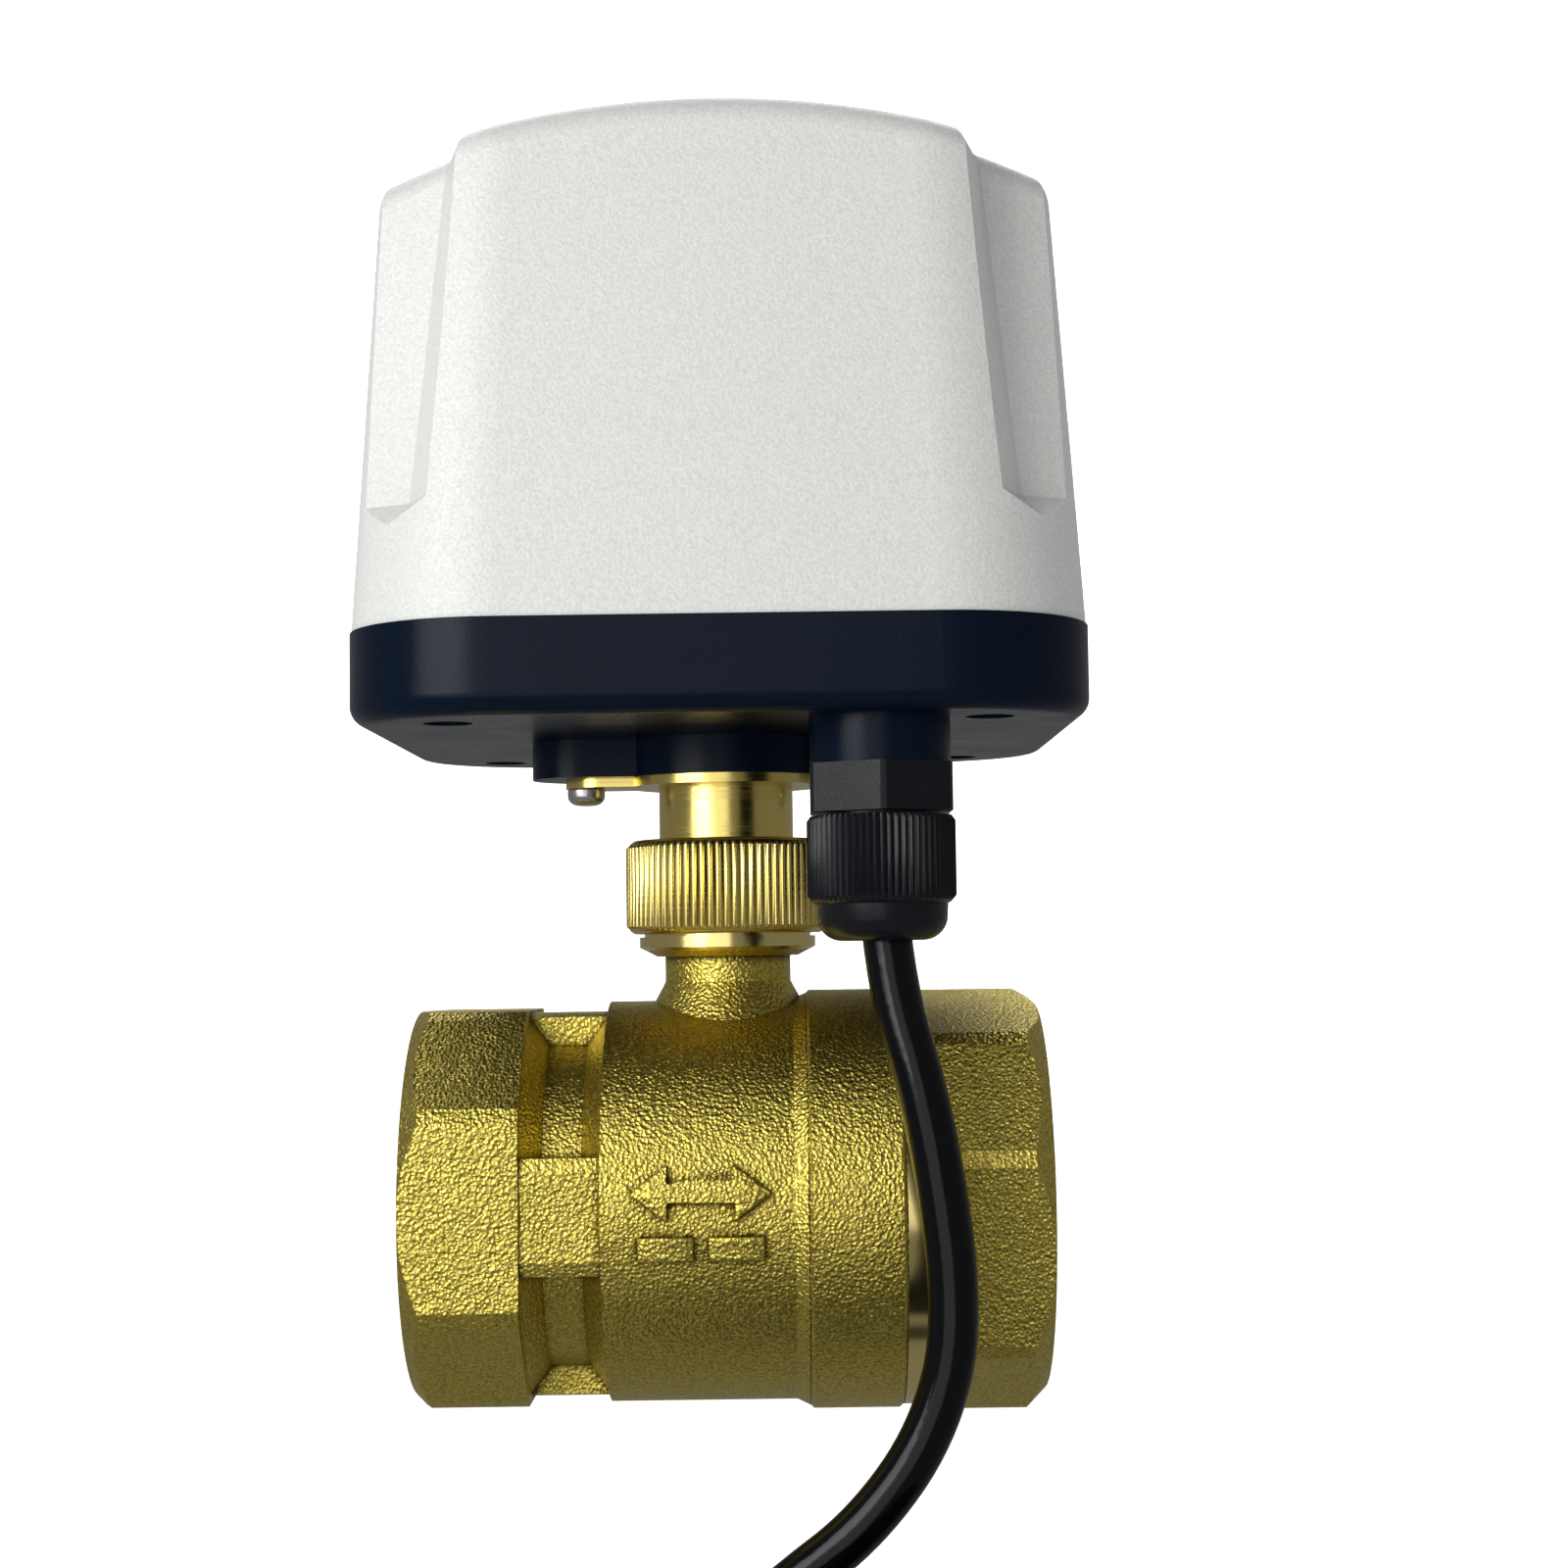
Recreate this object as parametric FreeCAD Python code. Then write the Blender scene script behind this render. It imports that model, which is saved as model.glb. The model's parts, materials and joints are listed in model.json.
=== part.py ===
import FreeCAD, Part
import math
import os
from FreeCAD import Vector, Placement, Rotation

# Motorized ball valve: brass two-piece valve below, electric actuator head above. Millimetres.
# Origin: centre of the inlet port's face. +X along the flow, +Z up the stem, -Y to the gland side.
SX = 40.5                       # stem axis, half of the 81 mm body length
OCT, OCT_HALF = 25.0, 12.4      # octagon ends: half across flats, half height of a flat
R_CORNER = 27.5                 # the octagon's corners are slightly rounded off
CAP_TURN = 13.0                 # end cap turned this far when screwed home
X_OCT, X_BAR, X_SHO, X_RING, X_BAND, X_CAP, X_END = -25.6, -15.5, 8.5, 10.1, 22.2, 24.8, 40.5
R_FLOOR, R_BAR, R_RING, R_BAND = 21.8, 26.0, 27.2, 26.8
R_PORT, L_PORT = 19.48, 16.0    # G 1 1/4 minor radius
R_PASS, R_SEAT, R_CAV, R_BALL, R_BORE = 15.5, 19.2, 23.3, 22.5, 15.5
R_NECK, R_COLLAR, R_SPIG = 8.3, 11.65, 11.0
Z_COL0, Z_COL1, Z_SPIG = 32.4, 34.4, 40.9
R_STEM, R_STEMHOLE = 6.0, 6.05
Z_NUT0, Z_NUT1, R_NUT = 34.8, 47.1, 13.4
R_STUB, Z_FL0, Z_FL1 = 8.9, 54.2, 55.4
EAR, R_EAR, R_HUB = 18.6, 7.1, 13.5
Z_B0, Z_B1, W_BASE, R_COR = 60.3, 71.7, 45.5, 19.0
FLOOR = 3.0
HOLE = 32.8
W_COV, DRAFT, CROWN, R_ARCH, WALL = 45.3, 0.062, 135.3, 112.0, 2.5
GX, GY = 19.4, -33.0            # cable gland axis
R_CABLE = 3.0
MODULE, Z_OUT, Z_SMALL, Z_LARGE, Z_PIN = 1.0, 44, 14, 30, 14
IDX = (Z_OUT + Z_SMALL) / 2 * MODULE * math.cos(math.pi / 4)
PIX = IDX - (Z_LARGE + Z_PIN) / 2 * MODULE * math.cos(math.pi / 4)
PLATE0, PLATE1 = 89.0, 91.0
CAM_R, CAM_RISE, ARM = 16.0, 1.2, 8.0
COIL_R, COIL_TURNS, COIL_STEP = 32.0, 3.25, 6.4
os.makedirs("parts", exist_ok=True)


def save(name, *shapes):
    shape = shapes[0] if len(shapes) == 1 else Part.makeCompound(list(shapes))
    shape.exportStep("parts/" + name + ".step")
    print(name, len(shape.Solids), round(shape.Volume, 1))


def cyl(x, y, z, r, h):
    return Part.makeCylinder(r, h, Vector(SX + x, y, z))


def cylx(x0, x1, r):
    return Part.makeCylinder(r, x1 - x0, Vector(SX + x0, 0, 0), Vector(1, 0, 0))


def cyly(x, y0, y1, z, r):
    return Part.makeCylinder(r, y1 - y0, Vector(SX + x, y0, z), Vector(0, 1, 0))


def box(x0, x1, y0, y1, z0, z1):
    return Part.makeBox(x1 - x0, y1 - y0, z1 - z0, Vector(SX + x0, y0, z0))


def cone(x, y, z, r0, r1, h):
    return Part.makeCone(r0, r1, h, Vector(SX + x, y, z))


def conex(x0, x1, r0, r1):
    return Part.makeCone(r0, r1, x1 - x0, Vector(SX + x0, 0, 0), Vector(1, 0, 0))


def tube(x, y, z, r_out, r_in, h):
    return cyl(x, y, z, r_out, h).cut(cyl(x, y, z, r_in, h))


def poly(points, z, h):
    wire = Part.makePolygon([Vector(SX + x, y, z) for x, y in points + points[:1]])
    return Part.Face(wire).extrude(Vector(0, 0, h))


def fuse(first, *rest):
    return first.multiFuse(list(rest)).removeSplitter()


def cut(shape, *tools):
    for tool in tools:
        shape = shape.cut(tool)
    return shape


def octagon(x0, x1, turn, mouth):
    """Wrench end with eight flats; its corners are turned off at 45 degrees at the mouth."""
    pts = []
    for k in range(4):
        for y, z in ((-OCT, -OCT_HALF), (-OCT, OCT_HALF)):
            a = math.radians(turn - 90 * k)
            pts.append((y * math.cos(a) - z * math.sin(a), y * math.sin(a) + z * math.cos(a)))
    wire = Part.makePolygon([Vector(SX + x0, y, z) for y, z in pts + pts[:1]])
    solid = Part.Face(wire).extrude(Vector(x1 - x0, 0, 0))
    chamfer = R_CORNER - OCT
    inner = -1 if mouth > 0 else 1
    near, far = sorted((mouth, mouth + inner * chamfer))
    cone_part = conex(near, far, *((OCT, R_CORNER) if mouth < 0 else (R_CORNER, OCT)))
    plain = cylx(far, x1, R_CORNER) if mouth < 0 else cylx(x0, near, R_CORNER)
    return solid.common(fuse(plain, cone_part))


def rounded_square(w, r, z):
    c = w - r
    q = math.sqrt(0.5) * r
    edges = []
    corners = [(1, 1), (-1, 1), (-1, -1), (1, -1)]
    for k, (a, b) in enumerate(corners):
        start = (a * c + (r if k % 2 == 0 else 0) * a, b * c + (r if k % 2 else 0) * b)
        end = (a * c + (r if k % 2 else 0) * a, b * c + (r if k % 2 == 0 else 0) * b)
        mid = (a * (c + q), b * (c + q))
        edges.append(Part.Arc(*[Vector(SX + p[0], p[1], z) for p in (start, mid, end)]).toShape())
        na, nb = corners[(k + 1) % 4]
        nxt = (na * c + (r if k % 2 else 0) * na, nb * c + (r if k % 2 == 0 else 0) * nb)
        edges.append(Part.makeLine(Vector(SX + end[0], end[1], z), Vector(SX + nxt[0], nxt[1], z)))
    return Part.Wire(edges)


def prism(w, r, z0, z1):
    return Part.Face(rounded_square(w, r, z0)).extrude(Vector(0, 0, z1 - z0))


def gear(teeth, x, y, z, h, bore, first):
    """Involute spur gear, module 1, 20 degrees, thinned a little for backlash."""
    pitch = MODULE * teeth / 2
    base = pitch * math.cos(math.radians(20))
    tip, root = pitch + 0.8 * MODULE, pitch - 1.1 * MODULE
    inv = math.tan(math.radians(20)) - math.radians(20)
    half = (math.pi * MODULE / 2 - 0.2) / 2 / pitch
    pts = []
    for k in range(teeth):
        mid = math.radians(first) + 2 * math.pi * k / teeth
        flank = []
        for n in range(5):
            r = max(base, root) + (tip - max(base, root)) * n / 4
            a = math.acos(min(1, base / r))
            flank.append((r, half + inv - (math.tan(a) - a)))
        low = flank[0][1]
        left = [(root, low)] + flank
        pts += [(x + r * math.cos(mid - t), y + r * math.sin(mid - t)) for r, t in left]
        pts += [(x + r * math.cos(mid + t), y + r * math.sin(mid + t)) for r, t in reversed(left)]
    return poly(pts, z, h).cut(cyl(x, y, z, bore, h))


def cam(start, end, z):
    pts = []
    for deg in range(0, 360, 5):
        share = min(1, max(0, (270 - deg) / 90)) if deg >= 135 else max(0, 1 - (135 - deg) / 60)
        r = CAM_R + start + (end - start) * share
        pts.append((r * math.cos(math.radians(deg)), r * math.sin(math.radians(deg))))
    return cut(poly(pts, z, 3.0), cyl(0, 0, z, 5.0, 3.0))


# ---------------------------------------------------------------- valve
core = cylx(X_OCT - 1, X_BAR + 1, R_FLOOR)
slope_a = conex(X_OCT, X_OCT + 2.6, 25.0, R_FLOOR)
slope_b = conex(X_BAR - 2.6, X_BAR, R_FLOOR, 25.2)
ribs = [box(X_OCT - 1, X_BAR + 1, -24.6, 24.6, -7.2, 7.2),
        box(X_OCT - 1, X_BAR + 1, -7.2, 7.2, -24.6, 24.6)]
ribs = [r.common(cylx(X_OCT - 2, X_BAR + 2, 25.2)) for r in ribs]
octo = octagon(-X_END, X_OCT, 0, -X_END)
barrel = cylx(X_BAR, X_SHO, R_BAR)
shoulder = conex(X_SHO, X_RING, R_BAR, R_RING - 0.4)
ring = cylx(X_RING, X_BAND, R_RING)
ring = ring.makeChamfer(0.5, ring.Edges)
band = cylx(X_BAND, X_CAP, R_BAND)
neck = cyl(0, 0, 18, R_NECK, Z_COL0 - 17)
neck_foot = cone(0, 0, 23.5, 11.0, R_NECK, 5.0)
collar = fuse(cone(0, 0, Z_COL0 - 0.6, R_NECK + 1, R_COLLAR, 1.2), cyl(0, 0, Z_COL0 + 0.6, R_COLLAR, 1.4))
spigot = cyl(0, 0, Z_COL1, R_SPIG, Z_SPIG - Z_COL1)
body = fuse(octo, core, slope_a, slope_b, *ribs, barrel, shoulder, ring, band,
            neck, neck_foot, collar, spigot)
body = cut(body, cylx(-X_END, -X_END + L_PORT, R_PORT), cylx(-X_END + L_PORT - 1, 0, R_PASS),
           cylx(-19.5, 0, R_SEAT), cylx(-14.0, X_CAP, R_CAV), cyl(0, 0, 10, R_STEMHOLE, 32),
           cyl(0, 0, 10, 7.4, 15.0),
           cylx(X_CAP - 0.6, X_CAP, 24.8))
save("valve_body", body)

end = fuse(octagon(X_CAP, X_END, CAP_TURN, X_END), cylx(12.0, X_CAP, R_CAV))
ball_room = Part.makeSphere(R_BALL + 0.4, Vector(SX, 0, 0))
end = cut(end, cylx(X_END - L_PORT, X_END, R_PORT), cylx(10, X_END, R_PASS),
          cylx(10, 19.5, R_SEAT), ball_room)
save("valve_end_cap", end)
save("end_cap_seal", cylx(X_CAP - 0.6, X_CAP, 24.8).cut(cylx(X_CAP - 0.6, X_CAP, R_CAV)))
seat_room = Part.makeSphere(R_BALL + 0.05, Vector(SX, 0, 0))
for name, x0, x1 in (("ball_seat_inlet", -19.5, -14.0), ("ball_seat_outlet", 14.0, 19.5)):
    save(name, cut(cylx(x0, x1, R_SEAT), cylx(x0, x1, R_PASS), seat_room))

ball = Part.makeSphere(R_BALL, Vector(SX, 0, 0))
save("valve_ball", cut(ball, cylx(-30, 30, R_BORE), box(-30, 30, -3.1, 3.1, 18.6, 30)))
grooves = [tube(0, 0, z, R_STEM + 1, 4.8, 2.0) for z in (27.0, 32.0)]
stem = fuse(cyl(0, 0, 23, R_STEM, 19), cyl(0, 0, 22.7, 7.0, 1.6), box(-6.3, 6.3, -3.0, 3.0, 18.7, 23.0),
            box(-3, 3, -3, 3, 40, 52))
save("valve_stem", cut(stem, *grooves))
save("stem_o_rings", *[tube(0, 0, z + 0.1, R_STEM, 4.8, 1.8) for z in (27.0, 32.0)])
save("stem_thrust_washer", tube(0, 0, 24.3, 7.0, R_STEM, 0.7))

# ---------------------------------------------------------------- union nut
nut = cyl(0, 0, Z_NUT0, R_NUT, Z_NUT1 - Z_NUT0)
nut = nut.makeChamfer(0.7, nut.Edges)
nut = cut(nut, cyl(0, 0, Z_NUT0, 11.35, 9.5), cyl(0, 0, Z_NUT0, R_STUB + 0.3, 20))
save("union_nut", nut)


# ---------------------------------------------------------------- actuator mounting
def ears(z, h, r_hub, r_ear, reach):
    slot = [cyl(s * reach, 0, z, r_ear, h) for s in (-1, 1)]
    return fuse(cyl(0, 0, z, r_hub, h), box(-reach, reach, -r_ear, r_ear, z, z + h), *slot)


screw_holes = [cyl(s * EAR, 0, 50, 1.5, 12) for s in (-1, 1)]
flange = fuse(ears(Z_FL0, Z_FL1 - Z_FL0, 13.0, 5.0, 16.3), cyl(0, 0, 41.0, R_STUB, 13.4),
              cyl(0, 0, 41.0, R_SPIG, 3.0))
save("mounting_flange", cut(flange, cyl(0, 0, 40, 6.6, 16), *screw_holes))
heads = []
for s in (-1, 1):
    head = cyl(s * EAR, 0, Z_FL0 - 2.2, 2.5, 2.2)
    head = fuse(head, cyl(s * EAR, 0, Z_FL0, 1.5, 7.8))
    heads.append(cut(head, box(s * EAR - 1.6, s * EAR + 1.6, -0.35, 0.35, 51, 52.8)))
save("flange_screws", *heads)

base = prism(W_BASE, R_COR, Z_B0, Z_B1)
low = [e for e in base.Edges if abs(e.BoundBox.ZMax - Z_B0) < 0.01]
base = base.makeFillet(2.5, low)
base = cut(base, prism(W_BASE - 3, R_COR - 3, Z_B0 + FLOOR, Z_B1))
posts = [cyl(a * HOLE, b * HOLE, Z_B0, 5.5, Z_B1 - Z_B0) for a in (-1, 1) for b in (-1, 1)]
base = fuse(base, ears(Z_FL1, Z_B0 - Z_FL1 + 1, R_HUB, R_EAR, EAR), cyl(GX, GY, 54.6, 8.55, 7), *posts)
for a in (-1, 1):
    for b in (-1, 1):
        base = cut(base, cyl(a * HOLE, b * HOLE, Z_B0, 3.0, 8.7), cyl(a * HOLE, b * HOLE, 65, 1.5, 8))
base = cut(base, cyl(0, 0, 50, 8.0, 20), cyl(GX, GY, 50, 6.0, 20),
           cyl(IDX, IDX, 61.8, 2.0, 5), *screw_holes)
save("actuator_base", base)
save("output_bush", tube(0, 0, Z_FL1, 8.0, 5.05, 8.2))
save("cover_screws", *[fuse(cyl(a * HOLE, b * HOLE, 66.6, 2.7, 2.4), cyl(a * HOLE, b * HOLE, 69, 1.5, 10))
                       for a in (-1, 1) for b in (-1, 1)])


def cover_solid(inset, z0):
    w0 = W_COV - inset - DRAFT * (z0 - Z_B1)
    w1 = W_COV - inset - DRAFT * (150 - Z_B1)
    r = R_COR - inset
    solid = Part.makeLoft([rounded_square(w0, r, z0), rounded_square(w1, r - 2, 150)], True, True)
    arch = Part.makeCylinder(R_ARCH - inset, 200, Vector(SX, -100, CROWN - R_ARCH), Vector(0, 1, 0))
    solid = solid.common(arch)
    for a, b in ((1, 1), (1, -1), (-1, 1), (-1, -1)):
        wires = []
        for z, v, lean in ((82.5, 40.0, 10.6), (86.5, 36.8, 10.6), (150, 30.6, 3.6)):
            v -= 1.25 * inset
            pts = [(v - lean, v + 21.6), (v, v), (v + 21.6, v - lean), (v + 40, v + 40)]
            z -= inset
            wires.append(Part.makePolygon([Vector(SX + a * x, b * y, z) for x, y in pts + pts[:1]]))
        for k in range(2):
            solid = solid.cut(Part.makeLoft(wires[k:k + 2], True, True))
    return solid


outer = cover_solid(0, Z_B1)
top = [e for e in outer.Edges if e.BoundBox.ZMin > 118 and e.BoundBox.ZMax - e.BoundBox.ZMin < 12]
for radius in (4.0, 3.2, 2.4, 1.6):
    try:
        rounded = outer.makeFillet(radius, top)
        if rounded.isValid() and len(rounded.Solids) == 1:
            outer = rounded
            print("cover top fillet", radius)
            break
    except Exception as error:
        print("fillet", radius, error)
cover = outer.cut(cover_solid(WALL, Z_B1 - 0.01))
bosses = [cyl(a * HOLE, b * HOLE, Z_B1, 4.4, 10.0) for a in (-1, 1) for b in (-1, 1)]
cover = fuse(cover, *[p.common(cover_solid(0.5, Z_B1)) for p in bosses])
cover = cut(cover, *[cyl(a * HOLE, b * HOLE, Z_B1, 1.5, 8.0) for a in (-1, 1) for b in (-1, 1)])
save("actuator_cover", cover)

# ---------------------------------------------------------------- drive train
shaft = cut(cyl(0, 0, 47.0, 5.0, 35.0), box(-3.15, 3.15, -3.15, 3.15, 47.0, 52.6))
save("output_shaft", shaft)
save("output_gear", gear(Z_OUT, 0, 0, 64.3, 4.5, 5.0, 45))
save("cam_open", cam(CAM_RISE, 0, 70.5))
save("cam_close", cam(0, CAM_RISE, 76.0))
idler = [gear(Z_SMALL, IDX, IDX, 64.3, 4.5, 2.05, 225 + 180 / Z_SMALL),
         tube(IDX, IDX, 68.8, 4.0, 2.05, 15.4),
         gear(Z_LARGE, IDX, IDX, 84.2, 3.8, 2.05, 225)]
save("idler_gear", fuse(*idler))
save("idler_axle", cyl(IDX, IDX, 61.8, 2.0, 28.8))
save("motor_pinion", gear(Z_PIN, PIX, PIX, 84.2, 3.8, 2.0, 45 + 180 / Z_PIN))
save("motor_shaft", cyl(PIX, PIX, 83.6, 2.0, 14.0))
spots = [(-30, 20), (-30, -20), (32, -12), (2, 37)]
save("plate_posts", *[cyl(x, y, Z_B0 + FLOOR, 3.0, PLATE0 - Z_B0 - FLOOR) for x, y in spots])
plate = prism(38.0, 14.0, PLATE0, PLATE1)
plate = cut(plate, cyl(PIX, PIX, 88, 9.0, 4), cyl(IDX, IDX, 88, 2.0, 4),
            *[cyl(x, y, 88, 1.5, 4) for x, y in spots])
plate = plate.common(cover_solid(WALL + 1.0, 80))
save("gear_plate", plate)
save("plate_screws", *[fuse(cyl(x, y, PLATE1, 2.5, 1.6), cyl(x, y, PLATE0, 1.5, 2.0)) for x, y in spots])
lugs = [(PIX + 23 * math.cos(t), PIX + 23 * math.sin(t)) for t in (math.radians(135), math.radians(315))]
case = fuse(cyl(PIX, PIX, PLATE1, 20.5, 26.0), *[cyl(x, y, PLATE1, 4.0, 2.0) for x, y in lugs])
case = cut(case, cyl(PIX, PIX, PLATE1, 2.05, 7.0), *[cyl(x, y, PLATE1, 1.5, 2.0) for x, y in lugs])
save("motor_case", fuse(case, cyl(PIX, PIX, PLATE1 + 26, 6.0, 2.0)))
save("motor_screws", *[fuse(cyl(x, y, PLATE1 + 2, 2.5, 1.8), cyl(x, y, PLATE1, 1.5, 2.0)) for x, y in lugs])

# ---------------------------------------------------------------- limit switches
bracket = fuse(box(-13, 10, -32, -30, 63.3, 82), box(-13, 10, -37, -30, 63.3, 64.8))
holes = [cyly(x, -33, -22, z, 0.8) for x in (-10, 7) for z in (72.0, 77.5)]
save("switch_bracket", cut(bracket, *holes))
for name, zc, rise in (("open", 72.0, CAM_RISE), ("close", 77.5, 0.0)):
    tip = -(CAM_R + rise + 0.3 + 1.0)
    hinge = -19.8 - rise / 2
    switch = fuse(box(-13, 10, -30, -22.4, zc - 2.6, zc + 2.6),
                  box(-9.2, -6.8, -22.5, hinge + 1.2, zc - 2.6, zc - 1.7),
                  box(-9.2, -6.8, -22.5, hinge + 1.2, zc + 1.7, zc + 2.6),
                  cyl(-ARM, hinge, zc - 2, 0.55, 4))
    save("switch_" + name, cut(switch, *holes))
    arm = Part.makeBox(8.2, 0.7, 2.6, Vector(0, -0.35, zc - 1.3))
    turn = math.degrees(math.atan2(tip - hinge, ARM))
    arm.Placement = Placement(Vector(SX - ARM, hinge, 0), Rotation(Vector(0, 0, 1), turn))
    lever = fuse(arm, cyl(0, tip, zc - 1.3, 1.0, 2.6), cyl(-ARM, hinge, zc - 1.3, 1.3, 2.6))
    save("lever_" + name, cut(lever, cyl(-ARM, hinge, zc - 2, 0.62, 4)))
    print("lever", name, "hinge y", hinge)
switch_screws = [fuse(cyly(x, -33.2, -32, z, 1.6), cyly(x, -32, -24, z, 0.8))
                 for x in (-10, 7) for z in (72.0, 77.5)]
save("switch_screws", *switch_screws)

# ---------------------------------------------------------------- electrics
board = box(-33, -31.4, -16, 16, 93.0, 122.0)
save("circuit_board", fuse(board, box(-33, -29, -14, 14, PLATE1, 93.0)))
save("terminal_block", *[box(-31.4, -24.0, y, y + 6.5, 96, 105) for y in (-14, -7, 0, 7)])
save("capacitor", cyl(22, -22, PLATE1, 6.0, 22.0))
save("cover_gasket", prism(W_BASE - 3.05, R_COR - 3, 70.2, Z_B1).cut(
    prism(W_BASE - 4.4, R_COR - 4.4, 70.2, Z_B1)).cut(
    Part.makeCompound([cyl(a * HOLE, b * HOLE, 70, 5.5, 2) for a in (-1, 1) for b in (-1, 1)])))


# ---------------------------------------------------------------- cable gland
def hexagon(r, z, h):
    pts = [(GX + r * math.sin(math.radians(60 * k)),
            GY - r * math.cos(math.radians(60 * k))) for k in range(6)]
    return poly(pts, z, h)


gland = hexagon(9.8, 48.8, 5.8).common(cyl(GX, GY, 48.8, 9.6, 5.8))
gland = fuse(gland, cyl(GX, GY, 42.0, 7.0, 7.0), cyl(GX, GY, 54.5, 6.0, 11.8))
save("gland_body", cut(gland, cyl(GX, GY, 40, 3.3, 30), cyl(GX, GY, 41, 5.5, 6.0)))
cap = cyl(GX, GY, 38.0, 9.0, 10.4)
cap = fuse(cap, cyl(GX, GY, 36.4, 8.0, 2.0), cone(GX, GY, 33.4, 5.4, 8.0, 3.0))
save("gland_nut", cut(cap, cyl(GX, GY, 42.0, 7.0, 8), cyl(GX, GY, 30, 3.3, 20), cyl(GX, GY, 37, 5.5, 6)))
save("gland_seal", tube(GX, GY, 37.5, 5.4, 3.05, 9.0))
save("gland_locknut", hexagon(7.4, 63.3, 2.6).cut(cyl(GX, GY, 60, 6.0, 8)))

# ---------------------------------------------------------------- cable
FRONT = -37.0
route = [(GX, GY, 46.0), (GX, GY, 31.0), (24.7, FRONT + 0.4, 12.6), (27.7, FRONT, -11.0),
         (24.3, FRONT, -24.3),
         (16.2, FRONT, -35.2), (6.5, FRONT, -42.2), (-2.6, FRONT, -50.4)]
COIL_START = math.radians(132)
coil_mid = (route[-1][0] - COIL_R * math.cos(COIL_START), route[-1][2] - COIL_R * math.sin(COIL_START))
print("route", [tuple(round(c, 2) for c in (p[0] + SX, p[1], p[2])) for p in route])
print("coil centre", round(coil_mid[0] + SX, 2), round(coil_mid[1], 2))


def rounded_path(points):
    vecs = [Vector(SX + x, y, z) for x, y, z in points]
    edges, at, total = [], vecs[0], 0
    for k in range(1, len(vecs) - 1):
        a, b, c = vecs[k - 1], vecs[k], vecs[k + 1]
        u, v = (b - a).normalize(), (c - b).normalize()
        turn = u.getAngle(v)
        short = min((b - a).Length, (c - b).Length)
        radius = 0.45 * short / math.tan(turn / 2)
        print("cord radius", round(radius, 1))
        p, q = b - u * (0.45 * short), b + v * (0.45 * short)
        n = (v - u).normalize()
        centre = b + n * (radius / math.cos(turn / 2))
        m = centre - n * radius
        edges += [Part.makeLine(at, p), Part.Arc(p, m, q).toShape()]
        at = q
    edges.append(Part.makeLine(at, vecs[-1]))
    return Part.Wire(edges)


path = rounded_path(route)


def pipe(radius):
    along = Vector(*[b - a for a, b in zip(route[0], route[1])])
    start = Vector(SX + route[0][0], route[0][1], route[0][2])
    return path.makePipeShell([Part.Wire(Part.makeCircle(radius, start, along))], True, False, 2)


cable = pipe(R_CABLE)
expected = math.pi * R_CABLE ** 2 * path.Length
print("cable tube volume", round(cable.Volume, 1), "expected", round(expected, 1))
print("cable tube length", round(path.Length, 1))
save("cable_tube", cable)
depth = COIL_STEP * COIL_TURNS
coil_at = Vector(SX + coil_mid[0], FRONT + 3, coil_mid[1])
coil = Part.makeCylinder(COIL_R + R_CABLE, depth + 6, coil_at, Vector(0, -1, 0))
hole = Part.makeCylinder(COIL_R - R_CABLE, depth + 6, coil_at, Vector(0, -1, 0))
save("cable_coil", cut(coil, hole, pipe(R_CABLE + 0.15)))
tie = box(coil_mid[0] - 2.2, coil_mid[0] + 2.2, FRONT - depth - 4.4, FRONT + 4.4, coil_mid[1] - COIL_R - 4.4,
          coil_mid[1] - COIL_R + 4.4)
save("cable_tie", tie.cut(box(coil_mid[0] - 3, coil_mid[0] + 3, FRONT - depth - 3.0, FRONT + 3.0,
                              coil_mid[1] - COIL_R - 3.2, coil_mid[1] - COIL_R + 3.4)))
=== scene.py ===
import json
import math
import bmesh
import bpy
from mathutils import Matrix, Vector


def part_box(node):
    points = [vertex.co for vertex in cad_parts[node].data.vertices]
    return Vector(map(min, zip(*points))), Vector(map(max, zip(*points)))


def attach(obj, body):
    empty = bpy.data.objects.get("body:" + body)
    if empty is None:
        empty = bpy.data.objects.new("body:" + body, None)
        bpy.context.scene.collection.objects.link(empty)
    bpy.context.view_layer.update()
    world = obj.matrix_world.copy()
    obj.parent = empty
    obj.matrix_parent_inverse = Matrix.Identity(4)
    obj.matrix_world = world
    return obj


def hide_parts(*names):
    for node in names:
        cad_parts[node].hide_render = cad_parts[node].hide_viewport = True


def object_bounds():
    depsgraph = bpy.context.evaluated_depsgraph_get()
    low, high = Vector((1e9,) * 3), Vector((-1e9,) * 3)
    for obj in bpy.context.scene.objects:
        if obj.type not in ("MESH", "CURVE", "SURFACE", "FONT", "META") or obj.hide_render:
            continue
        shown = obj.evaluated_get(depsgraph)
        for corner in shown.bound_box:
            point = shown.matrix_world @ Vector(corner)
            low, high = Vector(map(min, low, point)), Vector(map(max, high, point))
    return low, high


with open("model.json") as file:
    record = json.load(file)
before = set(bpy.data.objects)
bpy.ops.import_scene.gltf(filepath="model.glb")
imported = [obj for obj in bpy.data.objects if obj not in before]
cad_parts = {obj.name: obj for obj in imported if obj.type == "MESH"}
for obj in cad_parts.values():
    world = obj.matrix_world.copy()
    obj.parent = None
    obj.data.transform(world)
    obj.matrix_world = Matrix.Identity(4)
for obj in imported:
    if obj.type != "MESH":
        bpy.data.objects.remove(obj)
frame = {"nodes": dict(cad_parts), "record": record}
cad_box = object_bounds()
MM = 0.001
nodes = frame["nodes"]
body_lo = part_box("valve_body")[0]
base_lo, base_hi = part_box("actuator_base")
STEM_X = (base_lo.x + base_hi.x) / 2

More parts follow.
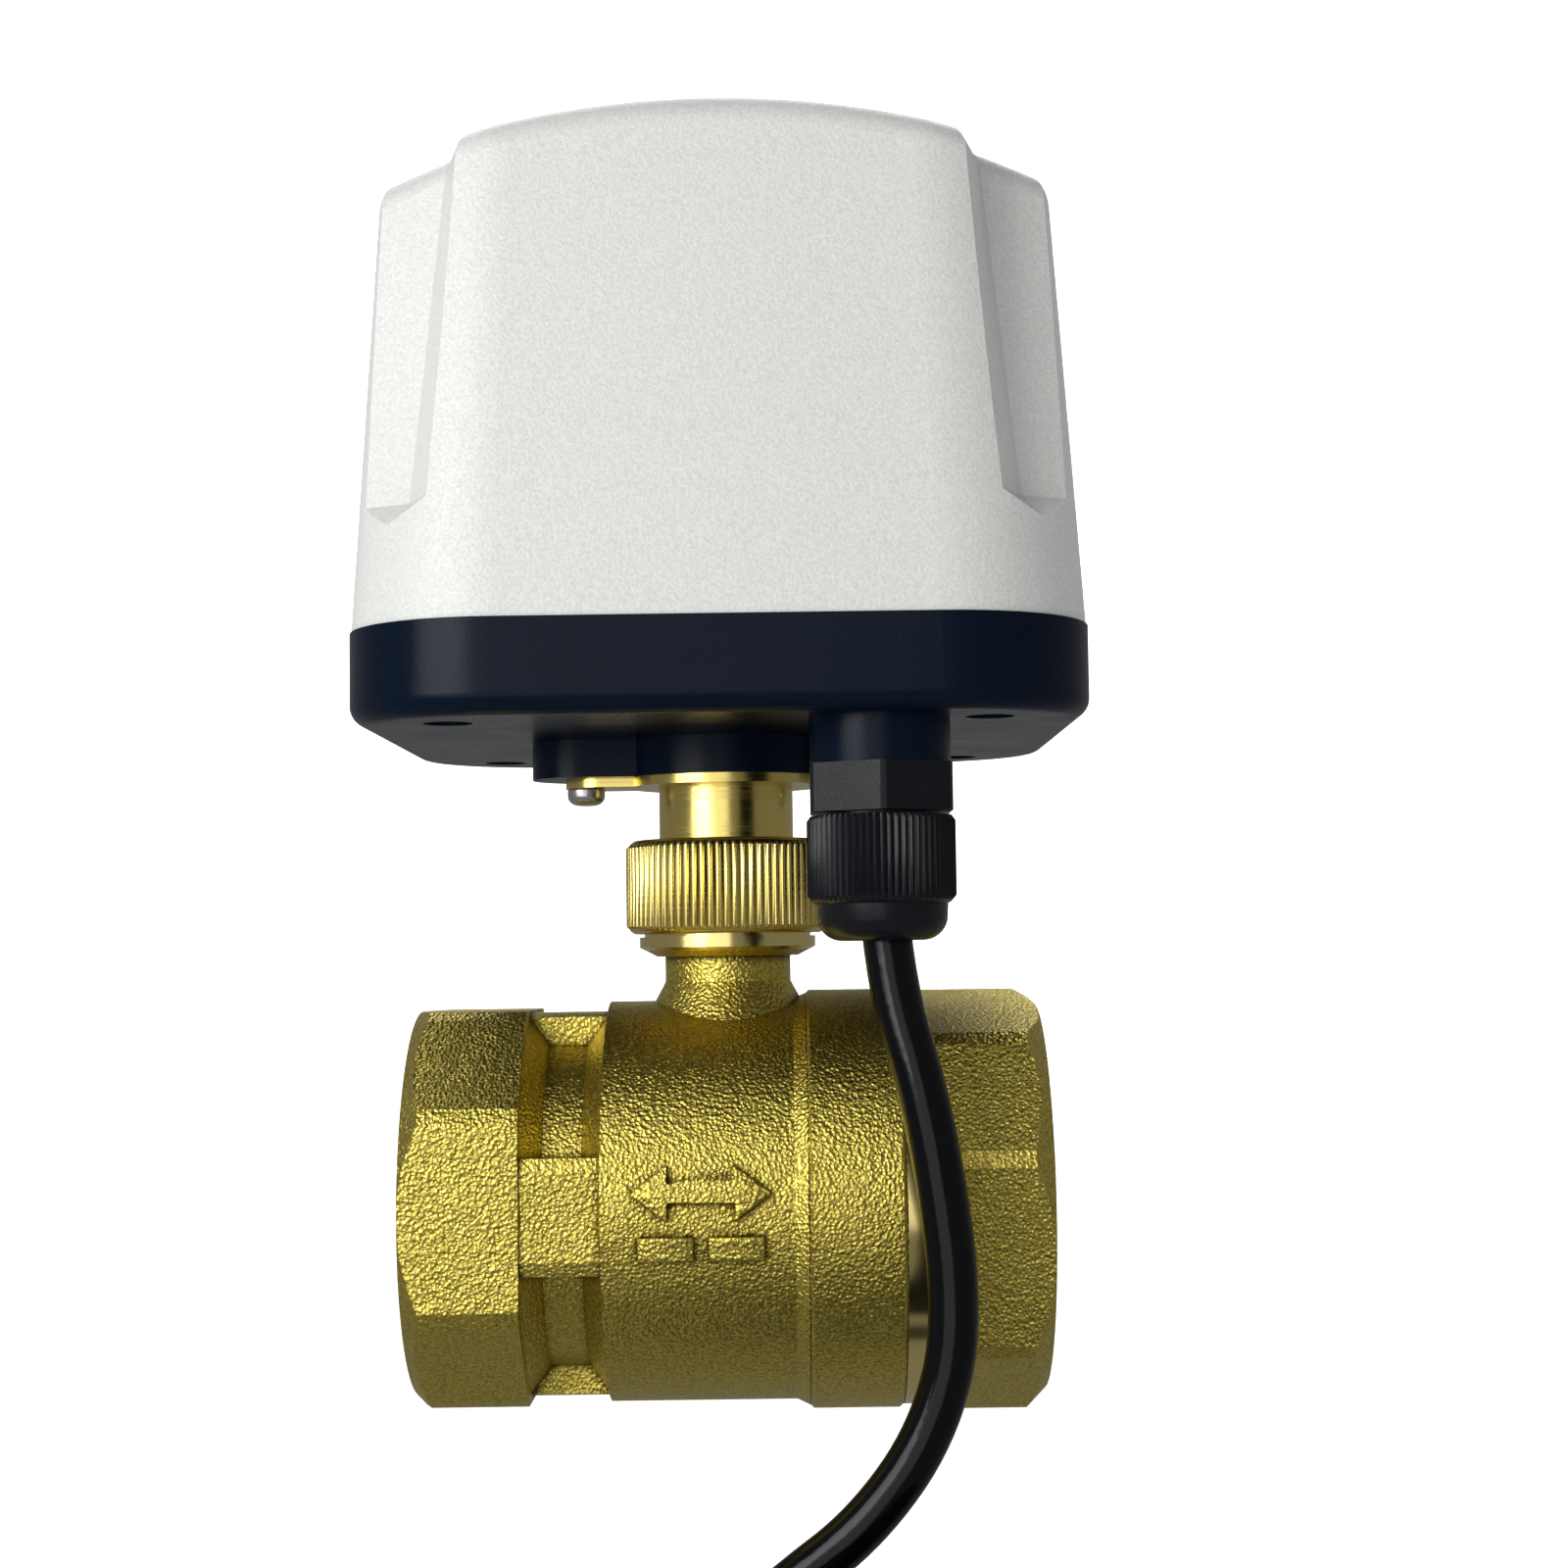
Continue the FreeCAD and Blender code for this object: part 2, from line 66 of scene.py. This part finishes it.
# ------------------------------------------------------------------ camera
LENS, SENSOR = 59.8, 36.0
EYE = (STEM_X + 7.77 * MM, -346.8 * MM, 31.9 * MM)
PITCH, ROLL = math.radians(3.743), math.radians(-0.775)

camera_data = bpy.data.cameras.new("camera")
camera_data.lens = LENS
camera_data.sensor_width = SENSOR
camera = bpy.data.objects.new("camera", camera_data)
bpy.context.scene.collection.objects.link(camera)
turn = Matrix.Rotation(math.pi / 2 + PITCH, 4, "X") @ Matrix.Rotation(ROLL, 4, "Z")
camera.matrix_world = Matrix.Translation(EYE) @ turn
bpy.context.scene.camera = camera


# ------------------------------------------------------------------ materials
class Shader:
    """A principled material with short calls for procedural detail."""

    def __init__(self, name, color, rough, metal=0.0, **sockets):
        self.mat = bpy.data.materials.new(name)
        self.mat.use_nodes = True
        self.tree = self.mat.node_tree
        self.bsdf = self.tree.nodes["Principled BSDF"]
        self.bsdf.inputs["Base Color"].default_value = (*color, 1)
        self.bsdf.inputs["Roughness"].default_value = rough
        self.bsdf.inputs["Metallic"].default_value = metal
        for key, value in sockets.items():
            self.bsdf.inputs[key.replace("_", " ")].default_value = value
        self.coord = self.add("ShaderNodeTexCoord").outputs["Object"]
        self.normal = None

    def add(self, kind, **inputs):
        node = self.tree.nodes.new(kind)
        for key, value in inputs.items():
            self.put(node.inputs[key.replace("_", " ")], value)
        return node

    def put(self, socket, value):
        if hasattr(value, "is_output"):
            self.tree.links.new(value, socket)
        else:
            socket.default_value = value

    def stretch(self, scale):
        node = self.add("ShaderNodeMapping", Vector=self.coord)
        node.inputs["Scale"].default_value = scale
        return node.outputs["Vector"]

    def noise(self, grain, detail=2.0, stretch=None):
        where = self.stretch(stretch) if stretch else self.coord
        node = self.add("ShaderNodeTexNoise", Vector=where, Scale=1 / grain, Detail=detail)
        return node.outputs["Fac"]

    def range(self, value, low, high, out_low, out_high):
        node = self.add("ShaderNodeMapRange")
        for key, number in zip(("Value", "From Min", "From Max", "To Min", "To Max"),
                               (value, low, high, out_low, out_high)):
            self.put(node.inputs[key], number)
        return node.outputs["Result"]

    def mix(self, factor, first, second):
        node = self.add("ShaderNodeMix")
        node.data_type = "RGBA"
        self.put(node.inputs["Factor"], factor)
        for socket, value in ((node.inputs[6], first), (node.inputs[7], second)):
            self.put(socket, value)
        return node.outputs[2]

    def bump(self, height, depth):
        node = self.add("ShaderNodeBump", Height=height, Distance=depth, Strength=1.0)
        if self.normal:
            self.put(node.inputs["Normal"], self.normal)
        self.normal = node.outputs["Normal"]
        self.put(self.bsdf.inputs["Normal"], self.normal)

    def math(self, operation, *values):
        node = self.add("ShaderNodeMath")
        node.operation = operation
        for socket, value in zip(node.inputs, values):
            self.put(socket, value)
        return node.outputs[0]


def moulded(name, color, rough, grain=0.3 * MM, depth=0.02 * MM, **sockets):
    """Plastic with a fine moulded grain and a slight unevenness of gloss."""
    s = Shader(name, color, rough, **sockets)
    fine = s.noise(grain)
    s.bump(fine, depth)
    s.put(s.bsdf.inputs["Roughness"], s.range(s.noise(9 * MM), 0.3, 0.7, rough - 0.03, rough + 0.03))
    dark = tuple(c * 0.93 for c in color) + (1,)
    s.put(s.bsdf.inputs["Base Color"], s.mix(s.range(fine, 0.35, 0.65, 0, 1), dark, (*color, 1)))
    return s.mat


def turned(name, color, rough, stretch=(30, 30, 2500)):
    """Turned or drawn metal with faint tool marks."""
    s = Shader(name, color, rough, 1.0)
    lines = s.noise(1.0, 3.0, stretch)
    s.bump(lines, 0.006 * MM)
    s.put(s.bsdf.inputs["Roughness"], s.range(lines, 0.3, 0.7, rough - 0.05, rough + 0.06))
    return s.mat


def cast_brass(name, machined_from, machined_above):
    """Shot-blasted cast brass, turned bright past one X and above one Z, with shade painted into its
    crevices.
    """
    cast, bright = (0.75, 0.60, 0.12), (0.78, 0.64, 0.25)
    s = Shader(name, cast, 0.34, 1.0)
    axis = s.add("ShaderNodeSeparateXYZ", Vector=s.coord)
    mask = s.math("MAXIMUM", s.math("GREATER_THAN", axis.outputs["X"], machined_from),
                  s.math("GREATER_THAN", axis.outputs["Z"], machined_above))
    rough_mask = s.math("SUBTRACT", 1.0, mask)
    grain = s.noise(0.36 * MM, 1.5)
    pits = s.add("ShaderNodeTexVoronoi", Vector=s.coord, Scale=1 / (0.48 * MM)).outputs["Distance"]
    s.bump(s.math("MULTIPLY", grain, rough_mask), 0.11 * MM)
    s.bump(s.math("MULTIPLY", pits, rough_mask), 0.13 * MM)
    s.bump(s.math("MULTIPLY", s.noise(5 * MM), rough_mask), 0.08 * MM)
    # The first colour is the grain's darker tone. The second, nearly black, is painted shade that the
    # ambient occlusion below lays into crevices, corners and the raised arrow's edges.
    dark, painted_crevice_shade = (tuple(c * k for c in cast) + (1,) for k in (0.6, 0.1))
    shade = s.mix(s.range(grain, 0.36, 0.62, 0, 1), dark, (*cast, 1))
    corner = s.add("ShaderNodeAmbientOcclusion", Distance=1.6 * MM).outputs["AO"]
    shade = s.mix(s.range(corner, 0.5, 0.95, 0, 1), painted_crevice_shade, shade)
    s.put(s.bsdf.inputs["Base Color"], s.mix(mask, shade, (*bright, 1)))
    s.put(s.bsdf.inputs["Roughness"], s.range(mask, 0, 1, 0.34, 0.17))
    return s.mat


def cover_plastic():
    """Light grey plastic with a spark-eroded texture that glitters slightly."""
    color = (0.64, 0.655, 0.63)
    s = Shader("cover_plastic", color, 0.42)
    grain = s.noise(0.42 * MM, 2.0)
    s.bump(grain, 0.07 * MM)
    s.bump(s.noise(1.3 * MM), 0.03 * MM)
    s.put(s.bsdf.inputs["Base Color"],
          s.mix(s.range(grain, 0.35, 0.65, 0, 1), tuple(c * 0.88 for c in color) + (1,), (*color, 1)))
    s.put(s.bsdf.inputs["Roughness"], s.range(grain, 0.3, 0.7, 0.5, 0.36))
    return s.mat


BAND_X = STEM_X + 22.25 * MM
COLLAR_Z = 32.6 * MM
body_brass = cast_brass("body_brass", BAND_X, COLLAR_Z)
NOWHERE = 1.0                   # a metre off, so no face of the cap counts as machined
cap_brass = cast_brass("cap_brass", NOWHERE, NOWHERE)
bright_brass = turned("bright_brass", (0.74, 0.59, 0.18), 0.24)
steel = turned("zinc_steel", (0.55, 0.55, 0.56), 0.3)
chrome = turned("chrome", (0.8, 0.81, 0.82), 0.07, (20, 20, 20))
grey_cover = cover_plastic()
dark_base = moulded("dark_base", (0.0015, 0.005, 0.013), 0.27, Specular_IOR_Level=0.1)
nylon = moulded("black_nylon", (0.005, 0.006, 0.008), 0.26, 0.25 * MM, Specular_IOR_Level=0.2)
rubber = moulded("black_rubber", (0.018, 0.018, 0.018), 0.6)
jacket = moulded("cable_jacket", (0.0015, 0.0018, 0.0025), 0.16, 1.6 * MM, 0.03 * MM,
                 Specular_IOR_Level=0.2)
ptfe = moulded("white_ptfe", (0.85, 0.85, 0.82), 0.4)
acetal = moulded("acetal", (0.78, 0.76, 0.68), 0.38)
red_acetal = moulded("red_acetal", (0.55, 0.05, 0.03), 0.38)
laminate = moulded("green_laminate", (0.02, 0.14, 0.05), 0.3, 1.5 * MM)
green_block = moulded("green_block", (0.03, 0.26, 0.09), 0.4)
blue_sleeve = moulded("blue_sleeve", (0.03, 0.06, 0.22), 0.25)
copper = turned("tinned_copper", (0.80, 0.42, 0.26), 0.28)
core_brown = moulded("core_brown", (0.13, 0.05, 0.02), 0.35)
core_blue = moulded("core_blue", (0.02, 0.10, 0.40), 0.35)
core_green = moulded("core_green", (0.10, 0.33, 0.05), 0.35)

FINISH = {
    "brass_cast": cap_brass, "brass_machined": bright_brass, "chrome_plate": chrome, "steel": steel,
    "seat_plastic": ptfe, "rubber_black": rubber, "cover_grey": grey_cover, "base_dark": dark_base,
    "gland_black": nylon, "cable_black": jacket, "gear_plastic": acetal, "cam_plastic": red_acetal,
    "board_green": laminate, "terminal_green": green_block, "can_blue": blue_sleeve,
}


def wear(obj, material):
    obj.data.materials.clear()
    obj.data.materials.append(material)


for part in frame["record"]["subparts"]:
    wear(nodes[part["node"]], FINISH[part["material_slot"]])
wear(nodes["valve_body"], body_brass)


# ------------------------------------------------------------------ mesh helpers
def piece(name, verts, faces, material, body):
    mesh = bpy.data.meshes.new(name)
    mesh.from_pydata(verts, [], faces)
    mesh.update()
    obj = bpy.data.objects.new(name, mesh)
    bpy.context.scene.collection.objects.link(obj)
    mesh.materials.append(material)
    for face in mesh.polygons:
        face.use_smooth = True
    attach(obj, body)
    return obj


def lathe(name, centre, profile, ribs, material, body, per_rib=4):
    """Turns a closed profile of (radius, z, rib depth) about Z; each rib is a shallow straight ridge."""
    steps = ribs * per_rib
    verts, faces = [], []
    for k in range(steps):
        a = 2 * math.pi * k / steps
        notch = abs((k % per_rib) / per_rib - 0.5) * 2
        for r, z, depth in profile:
            radius = r - depth * notch ** 0.7
            verts.append((centre[0] + radius * math.cos(a), centre[1] + radius * math.sin(a), z))
    count = len(profile)
    for k in range(steps):
        here, there = k * count, (k + 1) % steps * count
        for n in range(count):
            m = (n + 1) % count
            faces.append((here + n, there + n, there + m, here + m))
    obj = piece(name, verts, faces, material, body)
    sharp_edges(obj)
    return obj


def sharp_edges(obj, angle=35):
    bpy.context.view_layer.objects.active = obj
    for other in bpy.context.selected_objects:
        other.select_set(False)
    obj.select_set(True)
    bpy.ops.object.shade_smooth_by_angle(angle=math.radians(angle))
    obj.select_set(False)


# ------------------------------------------------------------------ union nut
def union_nut():
    lo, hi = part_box("union_nut")
    r = (hi.x - lo.x) / 2
    bore, mouth = 9.2 * MM, 11.35 * MM
    z0, z1 = lo.z, hi.z
    step = z0 + 9.5 * MM
    knurl = 0.42 * MM
    profile = [(bore, step, 0), (mouth, step, 0), (mouth, z0 + 0.3 * MM, 0), (mouth + 0.3 * MM, z0, 0),
               (r - 1.1 * MM, z0, 0), (r - 0.55 * MM, z0 + 0.35 * MM, 0), (r - 0.45 * MM, z0 + 0.6 * MM, 0),
               (r, z0 + 1.0 * MM, knurl), (r, z1 - 1.0 * MM, knurl),
               (r - 0.45 * MM, z1 - 0.6 * MM, 0), (r - 0.55 * MM, z1 - 0.35 * MM, 0), (r - 1.1 * MM, z1, 0),
               (bore + 0.3 * MM, z1, 0), (bore, z1 - 0.3 * MM, 0)]
    nut = lathe("knurled_nut", (STEM_X, 0), profile, 80, bright_brass, "nut", 6)
    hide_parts("union_nut")


# ------------------------------------------------------------------ cable gland
GLAND_X, GLAND_Y = STEM_X + 19.4 * MM, -33.0 * MM


def gland_nut():
    lo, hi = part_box("gland_nut")
    r = (hi.x - lo.x) / 2
    z0, z1 = lo.z, hi.z
    hole, rib = 3.3 * MM, 0.4 * MM
    dome_top = z0 + 4.7 * MM
    profile = [(7.0 * MM, z1, 0), (7.0 * MM, z0 + 8.6 * MM, 0), (5.5 * MM, z0 + 8.6 * MM, 0),
               (5.5 * MM, z0 + 3.6 * MM, 0), (hole, z0 + 3.6 * MM, 0), (hole, z0, 0)]
    for k in range(9):
        a = math.radians(10 * k)
        profile.append((4.9 * MM + 3.0 * MM * math.sin(a), z0 + 3.0 * MM * (1 - math.cos(a)), 0))
    profile += [(7.95 * MM, dome_top - 0.3 * MM, 0), (r - 0.75 * MM, dome_top - 0.15 * MM, 0),
                (r - 0.45 * MM, dome_top + 0.15 * MM, 0), (r, dome_top + 0.7 * MM, rib),
                (r, z1 - 0.6 * MM, rib), (r - 0.45 * MM, z1, 0)]
    nut = lathe("ribbed_gland_nut", (GLAND_X, GLAND_Y), profile, 66, nylon, "head", 6)
    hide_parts("gland_nut")


# ------------------------------------------------------------------ flange screws
def flange_screws():
    """Pan-head screws under the flange's ears, with a small round recess."""
    lo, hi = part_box("flange_screws")
    r, top = 2.5 * MM, lo.z + 2.2 * MM
    reach = (hi.x - lo.x) / 2 - r
    for side, label in ((-1, "left"), (1, "right")):
        profile = [(1.5 * MM, hi.z, 0), (1.5 * MM, top, 0), (r - 0.15 * MM, top, 0), (r, top - 0.2 * MM, 0)]
        for k in range(7):
            a = math.radians(15 * k)
            profile.append((1.0 * MM + (r - 1.0 * MM) * math.cos(a),
                            top - 0.9 * MM - 1.3 * MM * math.sin(a), 0))
        profile += [(0.8 * MM, lo.z, 0), (0.55 * MM, lo.z + 0.9 * MM, 0), (0.05 * MM, lo.z + 1.1 * MM, 0),
                    (0.05 * MM, hi.z, 0)]
        name = "flange_screw_" + label
        screw = lathe(name, ((lo.x + hi.x) / 2 + side * reach, 0), profile, 12, steel, "head")
        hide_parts("flange_screws")


# ------------------------------------------------------------------ raised flow arrow
def flow_arrow():
    """A double-headed arrow over two bars, raised from the front of the barrel in place of lettering."""
    left, right, surface, height, sunk = -11.9 * MM, 5.7 * MM, 26.0 * MM, 1.0 * MM, 0.3 * MM
    row, half, tip, shaft = 2.9 * MM, 3.4 * MM, 4.6 * MM, 1.2 * MM
    arrow = [(left, 0), (left + tip, half), (left + tip, shaft), (right - tip, shaft),
             (right - tip, half), (right, 0), (right - tip, -half), (right - tip, -shaft),
             (left + tip, -shaft), (left + tip, -half)]
    shapes = [[(x, z + row) for x, z in arrow]]
    middle, gap, tall = (left + right) / 2, 0.9 * MM, 1.5 * MM
    for x0, x1 in ((left + 1 * MM, middle - gap), (middle + gap, right - 1 * MM)):
        shapes.append([(x0, -row - 1 * MM - tall), (x0, -row - 1 * MM + tall),
                       (x1, -row - 1 * MM + tall), (x1, -row - 1 * MM - tall)])
    work = bmesh.new()
    for shape in shapes:
        face = work.faces.new([work.verts.new((x, -sunk, z)) for x, z in shape])
        flat = bmesh.ops.triangulate(work, faces=[face])["faces"]
        grown = bmesh.ops.extrude_face_region(work, geom=flat)
        top = [v for v in grown["geom"] if isinstance(v, bmesh.types.BMVert)]
        bmesh.ops.translate(work, verts=top, vec=(0, height + sunk, 0))
    bmesh.ops.recalc_face_normals(work, faces=work.faces)
    rim = [e for e in work.edges if all(v.co.y > 0 for v in e.verts) and e.calc_face_angle(0) > 1]
    bmesh.ops.bevel(work, geom=rim, offset=0.25 * MM, segments=2, profile=0.5, affect="EDGES")
    slices, slice_height = 14, 0.5 * MM
    for k in range(-slices, slices + 1):
        cut = work.verts[:] + work.edges[:] + work.faces[:]
        bmesh.ops.bisect_plane(work, geom=cut, plane_co=(0, 0, k * slice_height), plane_no=(0, 0, 1))
    for vert in work.verts:
        x, depth, z = vert.co
        vert.co = (STEM_X + x, -math.sqrt((surface + depth) ** 2 - z ** 2), z)
    bmesh.ops.recalc_face_normals(work, faces=work.faces)
    relief = piece("flow_arrow", [], [], cap_brass, "valve")
    work.to_mesh(relief.data)
    work.free()
    sharp_edges(relief, 50)


# ------------------------------------------------------------------ pipe threads
def port_thread(name, mouth_x, inward):
    """Helical ridges of an 11 threads per inch pipe thread, just inside a port's plain wall."""
    pitch, depth, wall = 25.4 / 11 * MM, 0.4 * MM, 19.5 * MM
    turns, steps = 6.2, 48
    verts, faces = [], []
    total = int(turns * steps)
    for k in range(total + 1):
        a = 2 * math.pi * k / steps
        fade = min(1, k / 12, (total - k) / 12)
        x = mouth_x + inward * (0.6 * MM + pitch * k / steps)
        for dx, r in ((-0.3 * pitch, wall), (-0.08 * pitch, wall - depth * fade),
                      (0.08 * pitch, wall - depth * fade), (0.3 * pitch, wall)):
            verts.append((x + inward * (dx + 0.3 * pitch), r * math.cos(a), inward * r * math.sin(a)))
    for k in range(total):
        for n in range(4):
            m = (n + 1) % 4
            faces.append((4 * k + n, 4 * k + m, 4 * k + 4 + m, 4 * k + 4 + n))
    faces += [(0, 1, 2, 3), tuple(4 * total + n for n in (3, 2, 1, 0))]
    piece(name, verts, faces, bright_brass, "valve")


# ------------------------------------------------------------------ cable
# The hanging stretch, in mm from the part's origin. The CAD cable follows the same points.
ROUTE = [(59.9, -33.0, 46.0), (59.9, -33.0, 31.0), (65.2, -36.6, 12.6), (68.2, -37.0, -11.0),
         (64.8, -37.0, -24.3), (56.7, -37.0, -35.2), (47.0, -37.0, -42.2), (37.9, -37.0, -50.4)]
COIL_START, COIL_TURNS, COIL_STEP, PER_TURN = 132, 3.25, 6.4, 16
COIL_R = 32.0
COIL_X = ROUTE[-1][0] - COIL_R * math.cos(math.radians(COIL_START))
COIL_Z = ROUTE[-1][2] - COIL_R * math.sin(math.radians(COIL_START))
CABLE_D, CABLE_LENGTH = 6.0 * MM, 0.757


def coil_point(turns, radius, sideways=0.0):
    a = math.radians(COIL_START + 360 * turns)
    y = -37.0 - COIL_STEP * turns + sideways
    return (COIL_X + radius * math.cos(a), y, COIL_Z + radius * math.sin(a))


def spline_piece(name, points, diameter, material, body):
    curve = bpy.data.curves.new(name, "CURVE")
    curve.dimensions = "3D"
    curve.bevel_depth = diameter / 2
    curve.bevel_resolution = 6
    curve.use_fill_caps = True
    curve.resolution_u = 8
    spline = curve.splines.new("NURBS")
    spline.points.add(len(points) - 1)
    for point, place in zip(spline.points, points):
        point.co = (*(c * MM for c in place), 1)
    spline.order_u = 3
    spline.use_endpoint_u = True
    curve.materials.append(material)
    obj = bpy.data.objects.new(name, curve)
    bpy.context.scene.collection.objects.link(obj)
    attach(obj, body)
    return obj


def cable():
    hull_r = COIL_R / math.cos(math.pi / PER_TURN)
    count = int(COIL_TURNS * PER_TURN)
    points = ROUTE + [coil_point((k + 0.5) / PER_TURN, hull_r) for k in range(count)]
    points.append(coil_point(COIL_TURNS, COIL_R))
    line = spline_piece("cable", points, CABLE_D, jacket, "head")
    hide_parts("cable_tube", "cable_coil")
    for k, (color, label) in enumerate(((core_brown, "brown"), (core_blue, "blue"), (core_green, "green"))):
        a = 2 * math.pi * k / 3
        out, side = 1.5 * math.cos(a), 1.5 * math.sin(a)
        spread = 1.0 + 0.35 * k
        place = [coil_point(COIL_TURNS + t, COIL_R + out * g, side * g)
                 for t, g in ((-0.01, 0.8), (0.03, spread * 0.9), (0.07, spread), (0.10, spread))]
        spline_piece("core_" + label, place, 1.9 * MM, color, "head")
        bare = [place[-1], coil_point(COIL_TURNS + 0.12, COIL_R + out * spread, side * spread),
                coil_point(COIL_TURNS + 0.135, COIL_R + out * spread, side * spread)]
        spline_piece("bare_" + label, bare, 1.1 * MM, copper, "head")


# ------------------------------------------------------------------ studio
def sheet_of(name, corners, material):
    mesh = bpy.data.meshes.new(name)
    mesh.from_pydata(corners, [], [(0, 1, 2, 3)])
    obj = bpy.data.objects.new(name, mesh)
    bpy.context.scene.collection.objects.link(obj)
    mesh.materials.append(material)


def studio():
    scene = bpy.context.scene
    scene.view_settings.view_transform = "Standard"
    paper = Shader("paper", (0.9, 0.9, 0.9), 0.9, Emission_Color=(1, 1, 1, 1), Emission_Strength=0.15)
    glow = Shader("backdrop_glow", (0.9, 0.9, 0.9), 0.9, Emission_Color=(1, 1, 1, 1), Emission_Strength=0.9)
    z, wide, back, high = cad_box[0][2] - 0.002, 3.0, 1.6, 3.0
    sheet_of("floor", [(-wide, -wide, z), (wide, -wide, z), (wide, back, z), (-wide, back, z)], paper.mat)
    sheet_of("backdrop", [(-wide, back, z), (wide, back, z), (wide, back, high), (-wide, back, high)],
             glow.mat)
    for name in ("floor", "backdrop"):
        bpy.data.objects[name].visible_glossy = False
    world = bpy.data.worlds.new("world")
    world.use_nodes = True
    background = world.node_tree.nodes["Background"]
    background.inputs["Color"].default_value = (1, 1, 1, 1)
    background.inputs["Strength"].default_value = 0.22
    scene.world = world
    aim = Vector((STEM_X, 0, 0.05))
    lamps = (("key", (-0.22, -0.30, 0.16), 0.24, 0.95, aim), ("front", (-0.30, -0.95, 0.20), 0.95, 3.6, aim),
             ("floor_wash", (0.0, 1.1, 1.2), 1.2, 14.0, Vector((0, 1.1, z))))
    for name, place, width, power, target in lamps:
        light = bpy.data.lights.new(name, "AREA")
        light.size = width
        light.energy = power
        lamp = bpy.data.objects.new(name, light)
        scene.collection.objects.link(lamp)
        lamp.location = place
        lamp.rotation_euler = (target - lamp.location).to_track_quat("-Z", "Y").to_euler()


cable()
union_nut()
gland_nut()
flange_screws()
flow_arrow()
port_thread("inlet_thread", body_lo.x, 1)
port_thread("outlet_thread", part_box("valve_end_cap")[1].x, -1)
studio()

bpy.context.view_layer.update()
